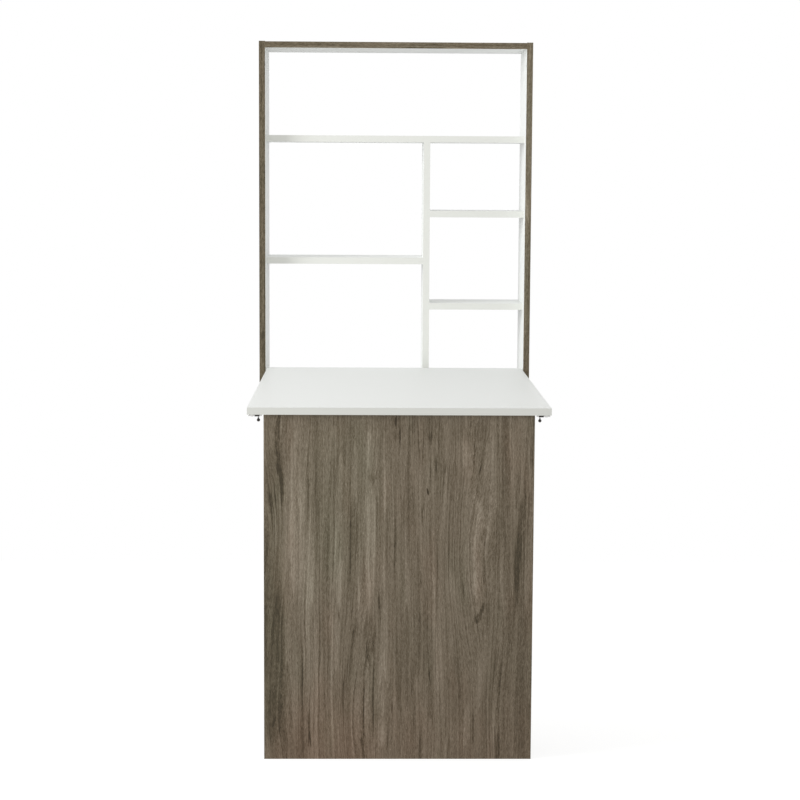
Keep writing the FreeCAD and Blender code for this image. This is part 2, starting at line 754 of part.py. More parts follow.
def barrel_bolts():
    screws = []
    for hand, side in LEFT_AND_RIGHT.items():
        bolt_guide(f"bolt_guide_{hand}", side)
        bolt_rod(f"bolt_rod_{hand}", side)
        bolt_knob(f"bolt_knob_{hand}", side)
        strike_bush(f"strike_bush_{hand}", side)
        for inset in bolt_screw_insets():
            for way in ("-1", "1"):
                across = f"{side} * (desk_width / 2 - ({inset}))"
                depth = (f"desk_front + bolt_back + {way} * "
                         "(bolt_plate_width / 2 - bolt_screw_inset)")
                screws.append(bolt_screw((across, depth, "underside - bolt_plate_thickness"),
                                         TURNED_OVER))
    group("bolt_plate_screws", screws)


# ---------------------------------------------------------------- the whole desk

def check_and_export():
    doc.recompute()
    for item in doc.Objects:
        if "Invalid" in item.State or "Error" in item.State:
            raise RuntimeError(f"{item.Label} is in state {item.State}")
    os.makedirs("parts", exist_ok=True)
    for item in sub_parts:
        if item.Shape.isNull() or not item.Shape.isValid():
            raise RuntimeError(f"{item.Label} has no valid shape")
    for item in sub_parts:
        item.Shape.exportStep(f"parts/{item.Label}.step")


cabinet_boards()
cabinet_dowels()
cam_fittings()
wall_hangers()
hinges()
desk_top()
leg_panel()
barrel_bolts()
check_and_export()
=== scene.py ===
"""Fold-down wall desk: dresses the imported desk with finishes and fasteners, and stages it."""

import math

import bmesh
import bpy
from mathutils import Matrix, Vector


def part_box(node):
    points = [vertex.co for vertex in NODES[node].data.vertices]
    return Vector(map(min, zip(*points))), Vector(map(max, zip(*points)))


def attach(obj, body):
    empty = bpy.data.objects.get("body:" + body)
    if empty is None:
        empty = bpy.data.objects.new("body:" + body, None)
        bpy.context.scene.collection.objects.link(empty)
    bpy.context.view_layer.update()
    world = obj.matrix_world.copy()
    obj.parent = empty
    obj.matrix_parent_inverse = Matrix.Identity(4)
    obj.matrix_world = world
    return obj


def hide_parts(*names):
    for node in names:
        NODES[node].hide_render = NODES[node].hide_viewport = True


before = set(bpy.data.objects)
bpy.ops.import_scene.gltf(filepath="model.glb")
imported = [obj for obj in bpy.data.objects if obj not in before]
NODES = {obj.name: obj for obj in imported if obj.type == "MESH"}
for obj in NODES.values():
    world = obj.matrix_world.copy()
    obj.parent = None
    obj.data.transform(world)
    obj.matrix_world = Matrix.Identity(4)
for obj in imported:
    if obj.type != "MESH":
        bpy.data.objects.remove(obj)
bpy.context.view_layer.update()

bl_info = {
    "name": "Fold-down wall desk",
    "version": (1, 0, 0),
    "blender": (4, 5, 0),
    "location": "View3D > Sidebar > Wall Desk",
    "description": "Finishes, fasteners and studio of a fold-down wall desk",
    "category": "Object",
}

MM = 0.001

# Millimetres in a metre, and the share of a face's normal that makes it look along an axis.
PER_METRE = 1000.0
FACING = 0.9

# The cabinet's outer boards: the axis and the way that lead inside, then the finish of the outer
# face and of the edges.
CASE_BOARDS = {
    "left_side_panel": ("x", 1, "walnut_side", "walnut_side_band"),
    "right_side_panel": ("x", -1, "walnut_side", "walnut_side_band"),
    "top_panel": ("z", -1, "walnut_end", "walnut_end_band"),
    "bottom_panel": ("z", 1, "walnut_end", "walnut_end_band"),
}
SHELVES = ("upper_shelf", "left_shelf", "right_middle_shelf", "right_low_shelf", "divider")


def nodes_named(*words):
    """The frame's nodes whose name holds every one of the words."""
    return [name for name in sorted(NODES) if all(word in name for word in words)]


# ---------------------------------------------------------------- shader maths

class Flow:
    """One output socket of a finish, with Python's operators adding Math nodes."""

    def __init__(self, finish, socket):
        self.finish = finish
        self.socket = socket

    def _maths(self, operation, *values):
        return self.finish.node("ShaderNodeMath", {"operation": operation},
                                dict(enumerate(values)))

    def __add__(self, other):
        return self._maths("ADD", self, other)

    def __radd__(self, other):
        return self._maths("ADD", other, self)

    def __sub__(self, other):
        return self._maths("SUBTRACT", self, other)

    def __rsub__(self, other):
        return self._maths("SUBTRACT", other, self)

    def __mul__(self, other):
        return self._maths("MULTIPLY", self, other)

    def __rmul__(self, other):
        return self._maths("MULTIPLY", other, self)

    def __rpow__(self, other):
        return self._maths("POWER", other, self)

    def __abs__(self):
        return self._maths("ABSOLUTE", self)

    def lowest(self, other):
        return self._maths("MINIMUM", self, other)

    def fraction(self):
        return self._maths("FRACT", self)

    def swing(self, amount):
        """Noise about 0.5 as an amount to either side of 0."""
        return (self - 0.5) * amount


class Finish:
    """A material, or a world, made of nodes; node() adds any of them."""

    def __init__(self, name, world=False):
        self.owner = (bpy.data.worlds if world else bpy.data.materials).new(name)
        self.owner.use_nodes = True
        self.tree = self.owner.node_tree
        self.tree.nodes.clear()
        self.end = "ShaderNodeOutputWorld" if world else "ShaderNodeOutputMaterial"

    def node(self, kind, settings=None, sockets=None, out=0):
        """Adds a node: its settings first, then the values or links of its sockets."""
        node = self.tree.nodes.new(kind)
        for key, value in (settings or {}).items():
            if key == "stops":
                ramp = node.color_ramp
                while len(ramp.elements) < len(value):
                    ramp.elements.new(1.0)
                for element, (place, colour) in zip(ramp.elements, value):
                    element.position = place
                    element.color = (*linear(colour), 1.0)
            else:
                setattr(node, key, value)
        for key, value in (sockets or {}).items():
            socket = node.inputs[key]
            if isinstance(value, Flow):
                self.tree.links.new(value.socket, socket)
            elif socket.type == "RGBA" and len(value) == 3:
                socket.default_value = (*value, 1.0)
            else:
                socket.default_value = value
        return Flow(self, node.outputs[out])

    def place(self):
        """Where a point lies on the object, in metres."""
        return self.node("ShaderNodeTexCoord", out="Object")

    def axes(self, vector):
        split = self.node("ShaderNodeSeparateXYZ", sockets={0: vector})
        outputs = split.socket.node.outputs
        return tuple(Flow(self, outputs[i]) for i in range(3))

    def vector(self, x, y, z):
        return self.node("ShaderNodeCombineXYZ", sockets={0: x, 1: y, 2: z})

    def noise(self, vector, scale=1.0, detail=2.0, roughness=0.5):
        """Smooth noise about 0.5."""
        return self.node("ShaderNodeTexNoise", None,
                         {"Vector": vector, "Scale": scale, "Detail": detail,
                          "Roughness": roughness})

    def step(self, value, low, high):
        """0 below low, 1 above high, smooth between."""
        return self.node("ShaderNodeMapRange", {"interpolation_type": "SMOOTHSTEP"},
                         {0: value, 1: low, 2: high, 3: 0.0, 4: 1.0})

    def scaled(self, vector, width, length):
        """The face's coordinates with one unit to a width and a length."""
        return self.node("ShaderNodeMapping", {"vector_type": "POINT"},
                         {"Vector": vector, "Scale": (1.0 / width, 1.0 / length, 1.0)})

    def _round(self, vector, x, z, half_width, half_length, lean=0.0):
        """Squared distance from a place, 1 at the rim of its ellipse."""
        local = self.node("ShaderNodeMapping", {"vector_type": "TEXTURE"},
                          {"Vector": vector, "Location": (x, z, 0.0),
                           "Rotation": (0.0, 0.0, -math.atan(lean)),
                           "Scale": (half_width, half_length, 1.0)})
        return self.node("ShaderNodeVectorMath", {"operation": "DOT_PRODUCT"},
                         {0: local, 1: local}, out="Value")

    def spot(self, vector, x, z, half_width, half_length):
        """A soft hill, 1 in its middle."""
        return RIM_OF_SPOT ** self._round(vector, x, z, half_width, half_length)

    def spindle(self, vector, x, z, half_width, half_length, lean=0.0):
        """1 along a spindle's core, 0 at its rim."""
        away = self._round(vector, x, z, half_width, half_length, lean)
        return self.step(away, 1.0, STRIP_CORE if is_strip(half_width) else SOFT_CORE)

    def blend(self, factor, first, second, way="MIX"):
        """Two colours mixed."""
        return self.node("ShaderNodeMix", {"data_type": "RGBA", "blend_type": way},
                         {"Factor": factor, 6: first, 7: second}, out=2)

    def ramp(self, value, stops):
        """A colour for each value, from places and 8-bit screen colours."""
        return self.node("ShaderNodeValToRGB", {"stops": stops}, {0: value})

    def bump(self, height, distance):
        return self.node("ShaderNodeBump", None,
                         {"Height": height, "Distance": distance, "Strength": 1.0})

    def surface(self, **sockets):
        """The Principled surface; a socket's spaces are written as underscores."""
        values = {key.replace("_", " "): value for key, value in sockets.items()}
        return self.finish_with(self.node("ShaderNodeBsdfPrincipled", None, values))

    def seen_apart(self, lighting, seen):
        """One shader where it lights the scene, another where camera, gloss or glass sees it."""
        path = self.node("ShaderNodeLightPath", out="Is Camera Ray")
        rays = path.socket.node.outputs
        looks = path + Flow(self, rays["Is Glossy Ray"]) + Flow(self, rays["Is Transmission Ray"])
        return self.finish_with(self.node("ShaderNodeMixShader", None,
                                          {0: looks.lowest(1.0), 1: lighting, 2: seen}))

    def finish_with(self, shader):
        """Links the last shader, and gives back the finished material or world."""
        output = self.tree.nodes.new(self.end)
        self.tree.links.new(shader.socket, output.inputs["Surface"])
        return self.owner


def linear(colour):
    """An 8-bit screen colour as Blender's linear one."""
    def one(value):
        value /= 255.0
        return value / 12.92 if value <= 0.04045 else ((value + 0.055) / 1.055) ** 2.4
    return tuple(one(value) for value in colour)


def shaded(colour, share):
    return tuple(value * share for value in colour)


# ---------------------------------------------------------------- finishes

# Figure of the walnut print, in millimetres on the board's face. A flame bends the grain lines
# round a place: across, along, half width, half length, bend. A streak tones a spindle-shaped
# place: across, along, half width, half length, lean (across per along), tone.

LEG_FLAMES = (
    (142, 455, 44, 200, 31), (-96, 105, 26, 165, 19), (140, 745, 17, 105, 15),
    (-270, 690, 22, 60, 12), (-268, 480, 20, 110, -12), (-55, 607, 9, 16, 5),
    (-63, 242, 10, 22, 5), (-262, 95, 24, 100, 13), (205, 100, 28, 150, 12),
)

LEG_STREAKS = (
    # light wedge left of the middle, then the strips to its right
    (-207, 470, 40, 185, -0.06, 0.19), (-183, 170, 18, 265, -0.02, 0.22),
    (-186, 420, 11, 110, 0.0, 0.10), (-224, 636, 9, 105, 0.16, 0.17),
    (-193, 632, 5, 100, 0.07, 0.17), (-189, 655, 2.0, 100, 0.07, -0.28),
    (-136, 676, 9, 45, 0.0, 0.16), (-124, 435, 12, 125, 0.0, 0.21),
    (-135, 150, 8, 185, 0.02, 0.13), (-60, 470, 16, 165, 0.0, 0.30),
    (-62, 660, 10, 52, 0.0, 0.26), (-30, 614, 8, 105, 0.0, 0.22),
    (-31, 235, 10, 270, 0.0, 0.18), (-33, 57, 14, 34, 0.0, 0.16),
    (-83, 353, 4, 90, -0.05, 0.16), (13, 466, 6, 85, 0.0, 0.08),
    (17, 380, 5, 60, 0.0, 0.08), (88, 200, 8, 245, -0.06, 0.17),
    (98, 573, 9, 100, 0.0, 0.13), (138, 655, 8, 48, 0.0, 0.20),
    (172, 526, 8, 60, -0.37, 0.15), (173, 424, 11, 85, 0.24, 0.15),
    (117, 360, 7, 115, -0.20, 0.12), (191, 663, 9, 52, 0.0, 0.14),
    (179, 200, 12, 100, 0.11, 0.19), (146, 71, 11, 60, 0.05, 0.19),
    (233, 641, 10, 80, 0.0, 0.13), (272, 430, 8, 145, 0.05, 0.20),
    (232, 92, 9, 70, 0.0, 0.12), (55, 620, 7, 90, 0.02, 0.07),
    # dark places
    (-264, 600, 22, 85, 0.0, -0.20), (-262, 240, 36, 330, -0.06, -0.28),
    (-250, 334, 13, 55, 0.0, -0.12), (-262, 95, 22, 75, 0.0, -0.20),
    (-209, 37, 14, 50, 0.0, -0.16), (-152, 290, 9, 340, 0.0, -0.15),
    (-93, 492, 10, 85, 0.0, -0.28), (-96, 350, 5, 90, 0.0, -0.20),
    (-98, 690, 8, 60, 0.0, -0.10), (-54, 605, 9, 13, 0.0, -0.26),
    (-61, 262, 13, 62, 0.0, -0.28), (-107, 190, 7, 112, 0.16, -0.20),
    (-92, 285, 15, 26, 0.0, -0.12), (-5, 712, 12, 45, 0.0, -0.22),
    (2, 253, 10, 150, 0.0, -0.12), (23, 520, 9, 40, 0.0, -0.09),
    (64, 712, 18, 42, 0.0, -0.14), (57, 287, 8, 110, 0.0, -0.09),
    (219, 609, 14, 165, 0.0, -0.24), (207, 460, 15, 95, 0.0, -0.16),
    (251, 440, 8, 175, 0.054, -0.36), (170, 313, 7, 26, 0.5, -0.42),
    (209, 165, 12, 85, 0.0, -0.18), (119, 163, 15, 100, 0.0, -0.14),
    (150, 700, 60, 30, 0.0, -0.08), (262, 90, 30, 120, 0.0, -0.12),
    # hairlines, pitch marks and dashes
    (-201, 130, 2.2, 150, -0.01, -0.46), (-166, 300, 1.9, 320, 0.0, -0.26),
    (-101, 482, 1.9, 140, 0.0, -0.30), (-8, 721, 2.4, 15, 0.05, -0.80),
    (1, 688, 2.0, 26, -0.04, -0.50), (61, 573, 2.6, 10, -0.2, -0.75),
    (41, 665, 1.8, 80, -0.05, -0.34), (49, 655, 1.7, 75, 0.03, -0.28),
    (118, 640, 2.0, 80, -0.02, -0.30), (156, 655, 2.0, 75, 0.05, -0.26),
    (-72, 120, 2.2, 110, 0.0, -0.32), (-52, 125, 2.3, 118, 0.0, -0.46),
    (-62, 120, 4, 110, 0.0, 0.14), (211, 22, 4.5, 42, 0.02, -0.40),
    (-262, 80, 2.6, 17, 0.3, -0.52), (-184, 42, 2.6, 26, -0.1, -0.46),
    (30, 105, 1.8, 50, 0.0, 0.26), (-13, 112, 2.0, 17, 0.02, -0.42),
    (80, 330, 2.0, 160, 0.0, -0.26), (-8, 430, 2.0, 130, 0.0, -0.24),
    (-30, 565, 2.0, 90, 0.0, 0.22), (-46, 520, 1.8, 80, 0.0, -0.22),
    (262, 300, 34, 430, 0.0, -0.12),
)

SIDE_FLAMES = (
    (372, 1010, 26, 150, 48), (430, 1330, 20, 120, 36), (340, 1420, 15, 80, -24),
    (410, 800, 24, 130, -44), (330, 1190, 9, 18, 15),
)

SIDE_STREAKS = (
    (330, 1120, 20, 330, 0.02, 0.12), (398, 1200, 16, 280, -0.02, -0.14),
    (445, 1000, 14, 260, 0.02, 0.12), (352, 860, 18, 190, 0.0, -0.13),
    (388, 1450, 16, 150, 0.0, 0.10), (462, 1300, 12, 240, 0.0, -0.14),
    (420, 1100, 1.8, 240, 0.0, -0.26), (367, 1330, 1.6, 160, 0.02, -0.24),
    (312, 960, 1.8, 150, 0.0, -0.20), (437, 800, 2.0, 90, 0.0, 0.16),
)

END_FLAMES = ((395, 40, 22, 120, 40), (350, -190, 18, 110, -34), (430, 230, 16, 90, 30))

END_STREAKS = (
    (340, 60, 16, 300, 0.0, 0.10), (420, -120, 18, 220, 0.0, -0.14),
    (375, 240, 12, 130, 0.0, 0.10), (455, 90, 14, 260, 0.0, 0.08),
    (398, 120, 1.8, 190, 0.0, -0.26), (318, -150, 1.8, 160, 0.0, -0.2),
)

# Places whose brown is cooler (first) or warmer (second): across, along, half width, half length.
# On the leg the warmer places lie over its lower end and its foot. There the warmer tint is painted
# warm shade: it copies the warm cast of the shade at the foot, so the leg's brown grows warmer
# towards the floor.
LEG_TINTS_WITH_PAINTED_WARM_SHADE = (((-266, 330, 46, 420), (-120, 560, 130, 260)),
             ((10, -230, 700, 480), (-150, 0, 150, 200)))
PLAIN_TINTS = (((330, 1000, 60, 500),), ((430, 1300, 60, 400),))

# The strips glued on the boards' front and back edges: straight grain, and cooler than the faces.
BAND_STREAKS = ((-5, 1130, 60, 1500, 0.0, -0.13), (585, 1130, 60, 1500, 0.0, 0.05))
BAND_TINTS = (((300, 1000, 3000, 4000),), ())

# Half widths in millimetres: up to the first a streak is a hairline, from the second a broad place,
# and between them a strip.
HAIRLINE, BROAD = 4, 30

# Squared distance, the rim's being 1, at which a streak reaches its full tone; below 0 it only
# comes near it. Then the share of its written tone that a streak adds, and a spot's height at its
# rim.
STRIP_CORE, SOFT_CORE = 0.30, -0.15
STRIP_TONE, OTHER_TONE = 0.74, 1.15
RIM_OF_SPOT = 0.3679

# Layers of noise in the print: width and length of a grain in millimetres, detail, roughness.
LAYERS = {
    "waver": (38.0, 170.0, 2.0, 0.5), "ripple": (9.0, 60.0, 1.0, 0.5),
    "drift": (150.0, 420.0, 1.0, 0.5), "broad": (60.0, 900.0, 3.0, 0.55),
    "strips": (15.0, 700.0, 2.0, 0.6), "rings": (42.0, 1500.0, 1.0, 0.5),
    "lines": (4.4, 360.0, 2.0, 0.7), "fibres": (1.15, 9.0, 2.0, 0.7),
    "creases": (11.0, 620.0, 1.0, 0.5), "gleams": (8.0, 380.0, 1.0, 0.5),
    "creased": (30.0, 130.0, 1.0, 0.5), "pores": (0.55, 7.0, 2.0, 0.6),
    "flecks": (1.3, 6.0, 3.0, 0.6), "hue": (60.0, 260.0, 2.0, 0.5),
}

# Millimetres by which a layer moves the figure.
MOVES = {"waver": 8.0, "ripple": 2.4, "drift": 20.0, "lines": 10.0, "fibres": 3.0, "strips": 60.0}

# Where a layer's marks begin and where they are full.
MARKS = {"creases": (0.020, 0.0), "gleams": (0.030, 0.0), "creased": (0.50, 0.66),
         "pores": (0.59, 0.66), "flecks": (0.56, 0.76)}

# The print's plain tone between 0, its darkest, and 1, and what each layer changes in it.
PLAIN_TONE = 0.505
TONES = {"broad": 0.45, "strips": 0.27, "lines": 0.70, "fibres": 1.16, "rings": 0.18,
         "creases": 0.40, "gleams": 0.13, "pores": 0.26, "flecks": 0.34}

# Growth rings across one layer of noise. In flames over a half length they show more: within these
# shares of the flame's half width and half length, by so much.
RINGS = 11.0
LONG_FLAME, RINGED_WIDTH, RINGED_LENGTH, MORE_RINGS = 140, 1.5, 0.9, 1.6

# The print's browns from dark to light.
BROWNS = ((0.02, (64, 54, 37)), (0.25, (95, 83, 65)), (0.50, (121, 109, 91)),
          (0.74, (140, 128, 111)), (1.0, (169, 157, 140)))

# The cooler and the warmer tint: the noise at which each begins and is full, its colour, and its
# strength in its places; then its strength in the noise.
# On the leg, the warmer tint's places paint warm shade towards its foot.
TINTS = (((0.50, 0.78), (0.44, 0.56, 0.51), 0.24), ((0.50, 0.22), (0.61, 0.45, 0.425), 0.32))
TINT_IN_NOISE = 0.22

# Millimetres by which the figure moves across for each metre in depth, so that no two boards match.
DEPTH_MOVE = 900.0

# Where fine noise is read between the layers of its grid, so that no rows of dots show.
OFF_GRID = 0.37


def is_strip(half_width):
    return HAIRLINE < half_width < BROAD


def walnut_laminate(name, across, along, flames, streaks, tints, darker=0.0):
    """Grey walnut print: flames and streaks of its figure, wavy growth lines, fibres and pores."""
    f = Finish(name)

    def layer(key, vector):
        width, length, detail, roughness = LAYERS[key]
        return f.noise(f.scaled(vector, width, length), detail=detail, roughness=roughness)

    # u runs across the grain and v along it, in millimetres; the leg's figure starts at its face
    where = f.axes(f.place())
    first, second = "xyz".index(across), "xyz".index(along)
    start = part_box("leg_panel")[0].y if name == "walnut_leg" else 0.0
    u = where[first] * PER_METRE + where[3 - first - second] * DEPTH_MOVE - DEPTH_MOVE * start
    v = where[second] * PER_METRE
    plain = f.vector(u, v, 0.0)
    waver = (layer("waver", plain).swing(MOVES["waver"])
             + layer("ripple", plain).swing(MOVES["ripple"]))
    wavy = f.vector(u + waver, v, 0.0)

    line = u + waver + layer("drift", plain).swing(MOVES["drift"])
    figured = 1.0
    for x, z, half_width, half_length, bend in flames:
        line = line + f.spot(wavy, x, z, half_width, half_length) * float(bend)
        if half_length > LONG_FLAME:
            ringed = f.spindle(wavy, x, z, RINGED_WIDTH * half_width, RINGED_LENGTH * half_length)
            figured = figured + ringed * MORE_RINGS
    grain = f.vector(line, v, 0.0)
    fine = f.vector(line, v, OFF_GRID)

    broad, strips = layer("broad", grain), layer("strips", grain)
    lines, fibres = layer("lines", fine), layer("fibres", fine)
    rings = (layer("rings", grain) * RINGS).fraction()
    crease = f.step(abs(layer("creases", grain) - 0.5), *MARKS["creases"])
    gleam = f.step(abs(layer("gleams", grain) - 0.5), *MARKS["gleams"])
    creased = f.step(layer("creased", wavy), *MARKS["creased"])
    ragged = f.vector(u + waver + lines.swing(MOVES["lines"]) + fibres.swing(MOVES["fibres"]),
                      v + strips.swing(MOVES["strips"]), 0.0)
    pores = f.step(layer("pores", fine), *MARKS["pores"])
    flecks = f.step(layer("flecks", ragged), *MARKS["flecks"])

    tone = PLAIN_TONE - darker
    for key, noise in (("broad", broad), ("strips", strips), ("lines", lines), ("fibres", fibres)):
        tone = noise.swing(TONES[key]) + tone
    tone = tone + (0.5 - rings) * figured * TONES["rings"]
    tone = tone - crease * creased * TONES["creases"] + gleam * (1.0 - creased) * TONES["gleams"]
    tone = tone - pores * TONES["pores"] + flecks * TONES["flecks"]
    for x, z, half_width, half_length, lean, amount in streaks:
        streak = f.spindle(ragged if half_width > HAIRLINE else wavy,
                           x, z, half_width, half_length, lean)
        tone = tone + streak * ((STRIP_TONE if is_strip(half_width) else OTHER_TONE) * amount)

    colour = f.ramp(tone, BROWNS)
    hue = layer("hue", wavy)
    # tints in their places; on the leg the warmer places are painted warm shade towards its foot
    for places, (ends, tint, strength) in zip(tints, TINTS):
        much = f.step(hue, *ends) * TINT_IN_NOISE
        for x, z, half_width, half_length in places:
            much = much + f.spindle(wavy, x, z, half_width, half_length) * strength
        colour = f.blend(much, colour, tint, "SOFT_LIGHT")
    height = fibres * 0.6 + lines * 0.4 - pores
    return f.surface(Base_Color=colour, Roughness=0.50 + fibres.swing(0.10) + pores * 0.08,
                     Normal=f.bump(height, 0.05 * MM), Specular_IOR_Level=0.32)


def white_laminate(name, tint=(1.0, 1.0, 1.0), rough=0.44):
    """Satin white melamine with the faint pressed grain of its paper."""
    look = bpy.context.scene.desk_colours
    f = Finish(name)
    place = f.place()
    cloud = f.noise(place, scale=7.0, detail=3.0)
    grain = f.noise(place, scale=1100.0, detail=2.0)
    white = tuple(c * t for c, t in zip(look.white, tint))
    colour = f.blend(cloud * 0.5 + grain * 0.25, shaded(white, 0.965), white)
    sheen = rough + cloud.swing(0.08) + grain.swing(0.06)
    return f.surface(Base_Color=colour, Roughness=sheen, Normal=f.bump(grain, 0.02 * MM),
                     Specular_IOR_Level=0.3)


def metal(name, colour, rough, wear, drawing=2200.0):
    """Plated or bright metal with lines drawn along X, so many a metre, and cloudy wear."""
    f = Finish(name)
    place = f.place()
    x, y, z = f.axes(place)
    drawn = f.noise(f.vector(x * 60.0, y * drawing, z * drawing), detail=2.0)
    cloud = f.noise(place, scale=160.0, detail=3.0)
    mixed = f.blend((cloud - 0.3) * wear, shaded(colour, 0.72), colour)
    return f.surface(Base_Color=mixed, Metallic=1.0, Roughness=rough + drawn.swing(0.16),
                     Normal=f.bump(drawn, 0.01 * MM))


def moulded_plastic(name, colour):
    """Matt injection-moulded plastic with a fine spark-eroded skin."""
    f = Finish(name)
    place = f.place()
    skin = f.noise(place, scale=4200.0, detail=1.0)
    cloud = f.noise(place, scale=90.0, detail=2.0)
    tint = f.blend(cloud, shaded(colour, 0.93), colour)
    return f.surface(Base_Color=tint, Roughness=0.45 + skin.swing(0.12),
                     Normal=f.bump(skin, 0.02 * MM))


def beech(name):
    """Turned beech with short dark flecks, for the dowels."""
    f = Finish(name)
    x, y, z = f.axes(f.place())
    lines = f.noise(f.vector(x * 40.0, y * 1500.0, z * 1500.0), detail=3.0)
    flecks = f.step(f.noise(f.vector(x * 300.0, y * 2600.0, z * 2600.0)), 0.62, 0.70)
    colour = f.ramp(lines - flecks * 0.25, ((0.2, (171, 126, 84)), (0.5, (205, 163, 118)),
                                            (0.8, (222, 186, 143))))
    return f.surface(Base_Color=colour, Roughness=0.6 + flecks * 0.1,
                     Normal=f.bump(lines, 0.08 * MM))


FINISHES = {}


def finish_of(key):
    """Each finish is made once and shared."""
    if key in FINISHES:
        return FINISHES[key]
    look = bpy.context.scene.desk_colours
    makers = {
        "walnut_leg": lambda: walnut_laminate(key, "x", "z", LEG_FLAMES, LEG_STREAKS, LEG_TINTS_WITH_PAINTED_WARM_SHADE),
        "walnut_side": lambda: walnut_laminate(key, "y", "z", SIDE_FLAMES, SIDE_STREAKS,
                                               PLAIN_TINTS, darker=0.09),
        "walnut_end": lambda: walnut_laminate(key, "y", "x", END_FLAMES, END_STREAKS,
                                              PLAIN_TINTS, darker=0.03),
        "walnut_side_band": lambda: walnut_laminate(key, "y", "z", (), BAND_STREAKS,
                                                    BAND_TINTS, darker=0.11),
        "walnut_end_band": lambda: walnut_laminate(key, "y", "x", (), (), BAND_TINTS,
                                                   darker=0.11),
        "white_board": lambda: white_laminate(key),
        "white_band": lambda: white_laminate(key, tint=(0.998, 0.992, 0.962), rough=0.38),
        "dowel_wood": lambda: beech(key),
        "zinc": lambda: metal(key, tuple(look.zinc), rough=0.46, wear=1.2, drawing=900.0),
        "steel": lambda: metal(key, tuple(look.steel), rough=0.34, wear=0.8),
        # a darker copy of the bolts' bright plated metal: painted dark reflection on the long
        # straps and knobs
        "nickel": lambda: metal(key, tuple(look.nickel), rough=0.22, wear=1.0),
        "bright_nickel": lambda: metal(key, tuple(look.bright), rough=0.24, wear=0.6),
        "white_plastic": lambda: moulded_plastic(key, tuple(look.white)),
        "grey_plastic": lambda: moulded_plastic(key, tuple(look.bush)),
    }
    FINISHES[key] = makers[key]()
    return FINISHES[key]


def paint(name, *keys, pick=None):
    """Gives a node its finishes; pick(face centre, normal) says which one a face has."""
    item = NODES[name]
    item.data.materials.clear()
    for key in keys:
        item.data.materials.append(finish_of(key))
    for face in item.data.polygons:
        face.material_index = pick(face.center, face.normal) if pick else 0


def ease_edges(item, width, steps=2):
    """Softens a node's hard edges, so that they catch the light."""
    weld = item.modifiers.new("weld", "WELD")
    weld.merge_threshold = 0.01 * MM
    bevel = item.modifiers.new("eased_edges", "BEVEL")
    bevel.width = width
    bevel.segments = steps
    bevel.limit_method = "ANGLE"
    bevel.angle_limit = math.radians(38)
    bevel.harden_normals = True
    bevel.use_clamp_overlap = True


# ---------------------------------------------------------------- modelled pieces

# Which way the heads of each group of screws look, the body that they ride on, and their finish.
SCREWS = {
    "desk_hinge_cabinet_screws": ("up", "cabinet", "steel"),
    "desk_hinge_desk_screws": ("down", "desk", "steel"),
    "leg_hinge_desk_screws": ("down", "desk", "steel"),
    "leg_hinge_leg_screws": ("back", "leg", "steel"),
    "hanger_screws": ("back", "cabinet", "steel"),
    "bolt_plate_screws": ("down", "desk", "steel"),
}

# For each look: the turn about X of a screw that points down, the axis it lies along, and whether
# its head is at that axis's high end.
HEAD_TURNS = {"up": (0.0, 2, 1), "down": (180.0, 2, 0), "back": (-90.0, 1, 1)}


def deselect_all():
    if bpy.context.mode != "OBJECT":
        bpy.ops.object.mode_set(mode="OBJECT")
    bpy.ops.object.select_all(action="DESELECT")


def open_mesh(item):
    """Goes into edit mode on one object, with nothing selected."""
    deselect_all()
    bpy.context.view_layer.objects.active = item
    item.select_set(True)
    bpy.ops.object.mode_set(mode="EDIT")
    bpy.ops.mesh.select_all(action="DESELECT")


def choose(kind, test):
    """Selects the faces or edges of the open mesh that pass a test."""
    bpy.ops.mesh.select_mode(type={"faces": "FACE", "edges": "EDGE"}[kind])
    bpy.ops.mesh.select_all(action="DESELECT")
    mesh = bmesh.from_edit_mesh(bpy.context.object.data)
    found = 0
    for part in getattr(mesh, kind):
        if test(part):
            part.select_set(True)
            found += 1
    bmesh.update_edit_mesh(bpy.context.object.data)
    if not found:
        raise RuntimeError("nothing to shape")


def draw_out(centre, rise, scale):
    """Extrudes what is selected along Z and widens or narrows it about an axis."""
    bpy.ops.mesh.extrude_region_move(TRANSFORM_OT_translate={"value": (0.0, 0.0, rise)})
    bpy.ops.transform.resize(value=(scale, scale, 1.0), center_override=centre)


def turned(centre, profile, radius):
    """Follows a profile of (rise, radius) steps, all in millimetres."""
    for rise, wide in profile:
        draw_out(centre, rise * MM, wide / radius)
        radius = wide


def close_mesh(angle=35.0):
    """Faces outwards, and smooth where its edges are soft."""
    bpy.ops.mesh.select_mode(type="VERT")
    bpy.ops.mesh.select_all(action="SELECT")
    bpy.ops.mesh.remove_doubles(threshold=0.001 * MM)
    bpy.ops.mesh.normals_make_consistent(inside=False)
    bpy.ops.object.mode_set(mode="OBJECT")
    bpy.ops.object.shade_smooth_by_angle(angle=math.radians(angle))


